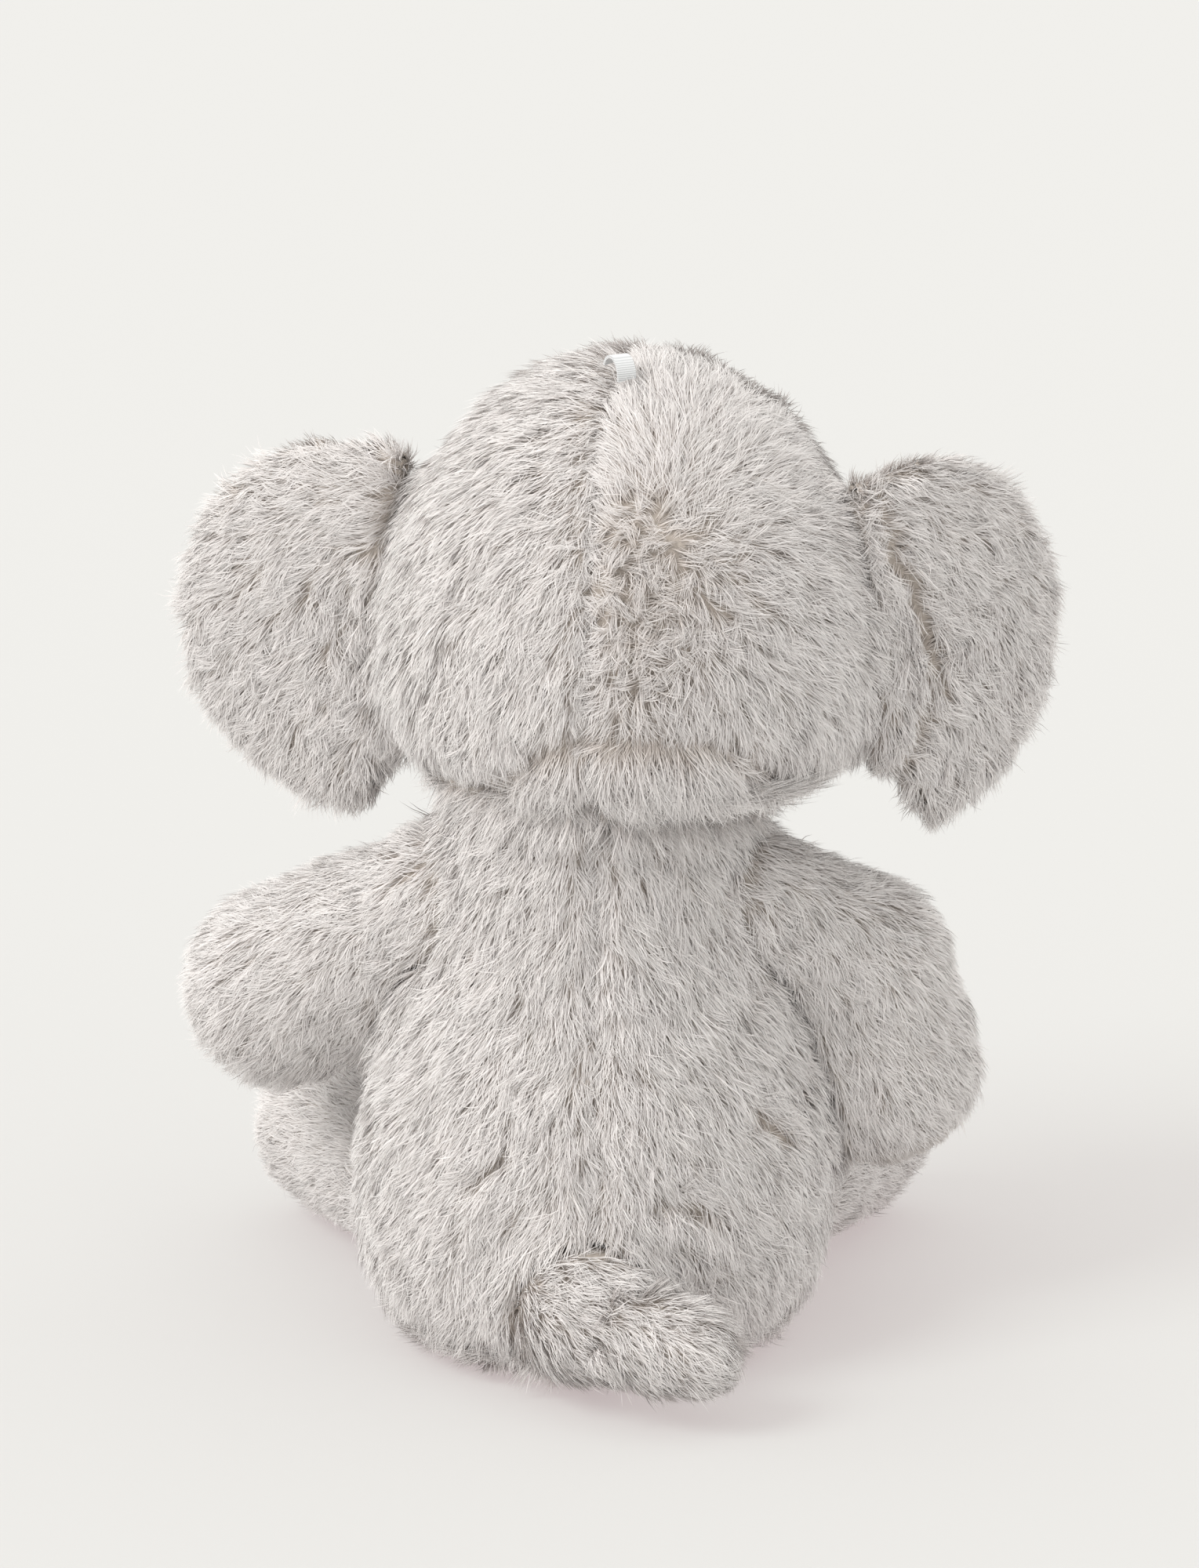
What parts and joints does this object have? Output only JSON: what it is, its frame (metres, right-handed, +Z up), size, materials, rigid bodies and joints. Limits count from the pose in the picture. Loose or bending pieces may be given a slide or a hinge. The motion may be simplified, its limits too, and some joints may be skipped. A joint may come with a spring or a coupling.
{
  "type": "stuffed elephant",
  "caption": "Seated stuffed elephant in long-pile pale grey plush, with a soft head, trunk, ears, arms, legs and tail that give at their seams.",
  "frame": {"origin": "middle of the flat seat that the elephant sits on", "axes": "+Z up, -Y the way the elephant faces, +X to the elephant's own left"},
  "size_m": [0.2341, 0.2091, 0.2695],
  "materials": {
    "plush": "long soft pile",
    "plush_ear_front": "long soft pile",
    "plush_pads": "long soft pile",
    "stuffing": "loose polyester fibre",
    "pellet_cloth": "plain woven",
    "eye_plastic": "polished",
    "washer_plastic": "moulded",
    "ribbon": "narrow woven ribbon"
  },
  "bodies": {
    "torso": {"torso_back_left": "plush", "torso_back_right": "plush", "torso_belly": "plush", "torso_seat": "plush", "torso_filling": "stuffing", "pellet_bag": "pellet_cloth"},
    "neck": {"neck_plug": "stuffing"},
    "head": {"head_back_left": "plush", "head_back_right": "plush", "face": "plush", "head_filling": "stuffing", "crown_loop": "ribbon", "eye_left": "eye_plastic", "eye_right": "eye_plastic", "eye_washer_left": "washer_plastic", "eye_washer_right": "washer_plastic"},
    "trunk": {"trunk_left_panel": "plush", "trunk_right_panel": "plush", "trunk_filling": "stuffing"},
    "tail": {"tail_cover": "plush", "tail_filling": "stuffing"},
    "ear_left": {"ear_left_back": "plush", "ear_left_front": "plush_ear_front", "ear_left_filling": "stuffing"},
    "arm_left": {"arm_left_cover": "plush", "arm_left_paw": "plush_pads", "arm_left_filling": "stuffing"},
    "leg_left": {"leg_left_cover": "plush", "leg_left_sole": "plush_pads", "leg_left_filling": "stuffing"},
    "ear_right": {"ear_right_back": "plush", "ear_right_front": "plush_ear_front", "ear_right_filling": "stuffing"},
    "arm_right": {"arm_right_cover": "plush", "arm_right_paw": "plush_pads", "arm_right_filling": "stuffing"},
    "leg_right": {"leg_right_cover": "plush", "leg_right_sole": "plush_pads", "leg_right_filling": "stuffing"}
  },
  "joints": [
    {"name": "neck_turn", "type": "hinge", "parent": "torso", "child": "neck", "pos_m": [0, 0, 0.132], "axis": [0, 0, 1], "range_deg": [-30, 30], "stiffness_Nm_per_rad": 0.8},
    {"name": "neck_nod", "type": "hinge", "parent": "neck", "child": "head", "pos_m": [0, 0, 0.132], "axis": [0.9816, -0.1908, 0], "range_deg": [-12, 15], "stiffness_Nm_per_rad": 1.5},
    {"name": "trunk_bend", "type": "hinge", "parent": "head", "child": "trunk", "pos_m": [-0.02145, -0.0649, 0.19], "axis": [0.9816, -0.1908, 0], "range_deg": [-35, 10], "stiffness_Nm_per_rad": 0.3},
    {"name": "ear_left_swing", "type": "hinge", "parent": "head", "child": "ear_left", "pos_m": [0.05697, -0.02309, 0.189], "axis": [0.1299, -0.0499, 0.9903], "range_deg": [-35, 30], "stiffness_Nm_per_rad": 0.08},
    {"name": "ear_right_swing", "type": "hinge", "parent": "head", "child": "ear_right", "pos_m": [-0.0785, 0.00324, 0.189], "axis": [-0.0542, -0.0439, -0.9976], "range_deg": [-2, 60], "stiffness_Nm_per_rad": 0.08},
    {"name": "arm_left_lift", "type": "hinge", "parent": "torso", "child": "arm_left", "pos_m": [0.043, 0, 0.121], "axis": [-0.6979, -0.7162, 0], "range_deg": [0, 12], "stiffness_Nm_per_rad": 0.2},
    {"name": "arm_right_lift", "type": "hinge", "parent": "torso", "child": "arm_right", "pos_m": [-0.043, 0, 0.121], "axis": [-0.5183, 0.8552, 0], "range_deg": [0, 12], "stiffness_Nm_per_rad": 0.2},
    {"name": "leg_left_lift", "type": "hinge", "parent": "torso", "child": "leg_left", "pos_m": [0.043, -0.04, 0.0276], "axis": [-0.9145, -0.4045, 0], "range_deg": [0, 25], "stiffness_Nm_per_rad": 0.4},
    {"name": "leg_right_lift", "type": "hinge", "parent": "torso", "child": "leg_right", "pos_m": [-0.043, -0.04, 0.0276], "axis": [-0.9145, 0.4045, 0], "range_deg": [0, 25], "stiffness_Nm_per_rad": 0.4},
    {"name": "tail_wag", "type": "hinge", "parent": "torso", "child": "tail", "pos_m": [0.001, 0.059, 0.025], "axis": [0, 0, 1], "range_deg": [-20, 20], "stiffness_Nm_per_rad": 0.1}
  ]
}
